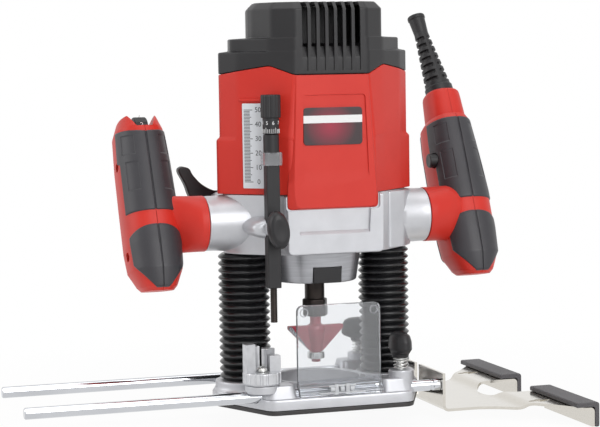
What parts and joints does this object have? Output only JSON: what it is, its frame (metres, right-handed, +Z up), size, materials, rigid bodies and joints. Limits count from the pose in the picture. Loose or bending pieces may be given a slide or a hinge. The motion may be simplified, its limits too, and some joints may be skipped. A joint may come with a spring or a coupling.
{
  "type": "plunge router",
  "caption": "Plunge router with a red motor head on columns under bellows, side handles, turret depth stop, clear chip guard and an edge guide on rods.",
  "frame": {"origin": "on the sole plate's underside, on its front bar, 45.5 mm in front of the spindle axis", "axes": "+Z up along the spindle, +X to the right towards the fence as the operator's side is seen, +Y away from the viewer"},
  "size_m": [0.3937, 0.2116, 0.2989],
  "materials": {
    "red_plastic": "moulded, satin red",
    "black_plastic": "moulded, fine grain, black",
    "grip_rubber": "soft-touch overmould, dark grey",
    "bellows_rubber": "ribbed, black",
    "cast_aluminium": "die cast, painted silver",
    "bright_steel": "polished or plated",
    "dark_steel": "blackened",
    "sheet_steel": "nickel-plated sheet",
    "clear_plastic": "clear",
    "cutter_red": "anti-friction paint, crimson",
    "white_print": "printed label",
    "copper": "bare"
  },
  "bodies": {
    "base": {"sole_plate": "black_plastic", "base_casting": "cast_aluminium", "left_column": "bright_steel", "right_column": "bright_steel", "left_bellows": "bellows_rubber", "right_bellows": "bellows_rubber", "left_plunge_spring": "bright_steel", "right_plunge_spring": "bright_steel", "chip_guard": "clear_plastic", "turret_screw": "bright_steel", "front_clamp_spring": "bright_steel", "rear_clamp_spring": "bright_steel"},
    "head": {"head_casting": "cast_aluminium", "motor_housing": "red_plastic", "top_cap": "black_plastic", "scale_plate": "white_print", "name_plate": "dark_steel", "left_handle_inner": "red_plastic", "left_handle_outer": "red_plastic", "right_handle_inner": "red_plastic", "right_handle_outer": "red_plastic", "left_upper_grip": "grip_rubber", "left_lower_grip": "grip_rubber", "right_upper_grip": "grip_rubber", "right_lower_grip": "grip_rubber", "cord_gland": "black_plastic", "stator": "dark_steel", "switch_module": "black_plastic", "speed_module": "black_plastic", "left_column_bush": "copper", "right_column_bush": "copper", "upper_bearing": "bright_steel", "lower_bearing": "bright_steel", "front_brush_holder": "black_plastic", "rear_brush_holder": "black_plastic"},
    "spindle": {"spindle_shaft": "dark_steel", "armature_core": "copper", "commutator": "copper", "cooling_fan": "black_plastic", "collet": "bright_steel", "collet_nut": "dark_steel", "router_bit": "cutter_red", "pilot_bearing": "bright_steel"},
    "spindle_lock": {"spindle_lock_button": "black_plastic"},
    "turret": {"turret": "cast_aluminium"},
    "front_clamp": {"front_clamp_knob": "black_plastic"},
    "rear_clamp": {"rear_clamp_knob": "black_plastic"},
    "guide": {"front_guide_rod": "bright_steel", "rear_guide_rod": "bright_steel", "fence_plate": "sheet_steel", "front_fence_pad": "black_plastic", "rear_fence_pad": "black_plastic"},
    "depth_bar": {"depth_bar": "black_plastic"},
    "depth_knob": {"depth_knob": "black_plastic"},
    "depth_cursor": {"depth_cursor": "clear_plastic"},
    "depth_clamp": {"depth_clamp_knob": "black_plastic"},
    "lock_lever": {"lock_lever": "black_plastic"},
    "speed_dial": {"speed_dial": "black_plastic"},
    "trigger": {"trigger": "black_plastic"},
    "lock_button": {"lock_button": "black_plastic"}
  },
  "joints": [
    {"name": "plunge", "type": "slide", "parent": "base", "child": "head", "axis": [0, 0, 1], "range_m": [-0.055, 0], "stiffness_N_per_m": 500, "springref_m": 0.14, "deforming": ["left_bellows", "right_bellows", "left_plunge_spring", "right_plunge_spring"]},
    {"name": "spindle_spin", "type": "hinge", "parent": "head", "child": "spindle", "pos_m": [0, 0.0455, 0.0861], "axis": [0, 0, 1], "continuous": true},
    {"name": "spindle_lock_press", "type": "slide", "parent": "head", "child": "spindle_lock", "axis": [0, 1, 0], "range_m": [0, 0.0035], "stiffness_N_per_m": 1200, "springref_m": -0.003},
    {"name": "turret_turn", "type": "hinge", "parent": "base", "child": "turret", "pos_m": [-0.0538, 0.001, 0.0195], "axis": [0, 0, 1], "continuous": true},
    {"name": "front_clamp_turn", "type": "hinge", "parent": "base", "child": "front_clamp", "pos_m": [0.0485, 0.001, 0.0244], "axis": [0, 0, 1], "range_deg": [-180, 180]},
    {"name": "rear_clamp_turn", "type": "hinge", "parent": "base", "child": "rear_clamp", "pos_m": [0.0485, 0.09, 0.0244], "axis": [0, 0, 1], "range_deg": [-180, 180]},
    {"name": "guide_slide", "type": "slide", "parent": "base", "child": "guide", "axis": [1, 0, 0], "range_m": [0, 0.15]},
    {"name": "depth_bar_slide", "type": "slide", "parent": "base", "child": "depth_bar", "axis": [0, 0, 1], "range_m": [-0.014, 0.005]},
    {"name": "depth_knob_turn", "type": "hinge", "parent": "depth_bar", "child": "depth_knob", "pos_m": [-0.0445, 0.0005, 0.193], "axis": [0, 0, 1], "continuous": true},
    {"name": "depth_cursor_slide", "type": "slide", "parent": "depth_bar", "child": "depth_cursor", "axis": [0, 0, 1], "range_m": [-0.008, 0]},
    {"name": "depth_clamp_turn", "type": "hinge", "parent": "head", "child": "depth_clamp", "pos_m": [-0.0445, 0.0005, 0.1281], "axis": [0, -1, 0], "range_deg": [-90, 180]},
    {"name": "lock_lever_turn", "type": "hinge", "parent": "head", "child": "lock_lever", "pos_m": [-0.0605, 0.0812, 0.141], "axis": [0, 1, 0], "range_deg": [0, 30]},
    {"name": "speed_dial_turn", "type": "hinge", "parent": "head", "child": "speed_dial", "pos_m": [-0.1186, 0.07904, 0.19466], "axis": [1, 0, 0], "range_deg": [-150, 150]},
    {"name": "trigger_pull", "type": "slide", "parent": "head", "child": "trigger", "axis": [0, -0.9063, 0.4226], "range_m": [0, 0.005], "stiffness_N_per_m": 800, "springref_m": -0.004},
    {"name": "lock_button_press", "type": "slide", "parent": "head", "child": "lock_button", "axis": [1, 0, 0], "range_m": [0, 0.0025], "stiffness_N_per_m": 800, "springref_m": -0.002}
  ]
}
